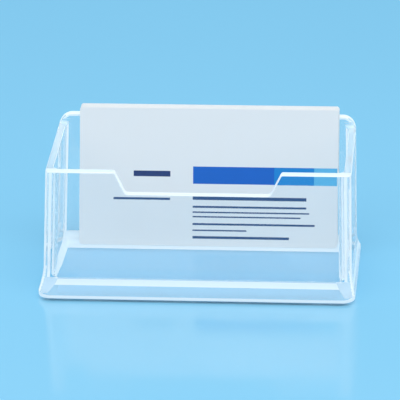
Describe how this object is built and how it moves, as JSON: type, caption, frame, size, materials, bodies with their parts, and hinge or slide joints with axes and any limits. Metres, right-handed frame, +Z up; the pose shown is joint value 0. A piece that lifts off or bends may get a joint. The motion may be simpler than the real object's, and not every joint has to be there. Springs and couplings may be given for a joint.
{
  "type": "business card holder",
  "caption": "Clear desk stand with a leaning open pocket, a thumb notch in its front wall and a flared foot, holding a stack of loose cards that lift out.",
  "frame": {"origin": "on the table, under the middle of the object's length and depth", "axes": "+X to the right along the holder's length, +Y to the back, the way the walls lean, +Z up"},
  "size_m": [0.1084, 0.059, 0.0517],
  "materials": {
    "clear_plastic": "polished clear polystyrene",
    "card_stock": "smooth coated white card"
  },
  "bodies": {
    "holder": {"holder": "clear_plastic"},
    "card_01": {"card_01": "card_stock"},
    "card_02": {"card_02": "card_stock"},
    "card_03": {"card_03": "card_stock"},
    "card_04": {"card_04": "card_stock"},
    "card_05": {"card_05": "card_stock"},
    "card_06": {"card_06": "card_stock"}
  },
  "joints": [
    {"name": "card_01_lift", "type": "slide", "parent": "holder", "child": "card_01", "axis": [0, 0.2593, 0.9658], "range_m": [0, 0.05]},
    {"name": "card_02_lift", "type": "slide", "parent": "holder", "child": "card_02", "axis": [0, 0.2593, 0.9658], "range_m": [0, 0.05]},
    {"name": "card_03_lift", "type": "slide", "parent": "holder", "child": "card_03", "axis": [0, 0.2593, 0.9658], "range_m": [0, 0.05]},
    {"name": "card_04_lift", "type": "slide", "parent": "holder", "child": "card_04", "axis": [0, 0.2593, 0.9658], "range_m": [0, 0.05]},
    {"name": "card_05_lift", "type": "slide", "parent": "holder", "child": "card_05", "axis": [0, 0.2593, 0.9658], "range_m": [0, 0.05]},
    {"name": "card_06_lift", "type": "slide", "parent": "holder", "child": "card_06", "axis": [0, 0.2593, 0.9658], "range_m": [0, 0.05]}
  ]
}
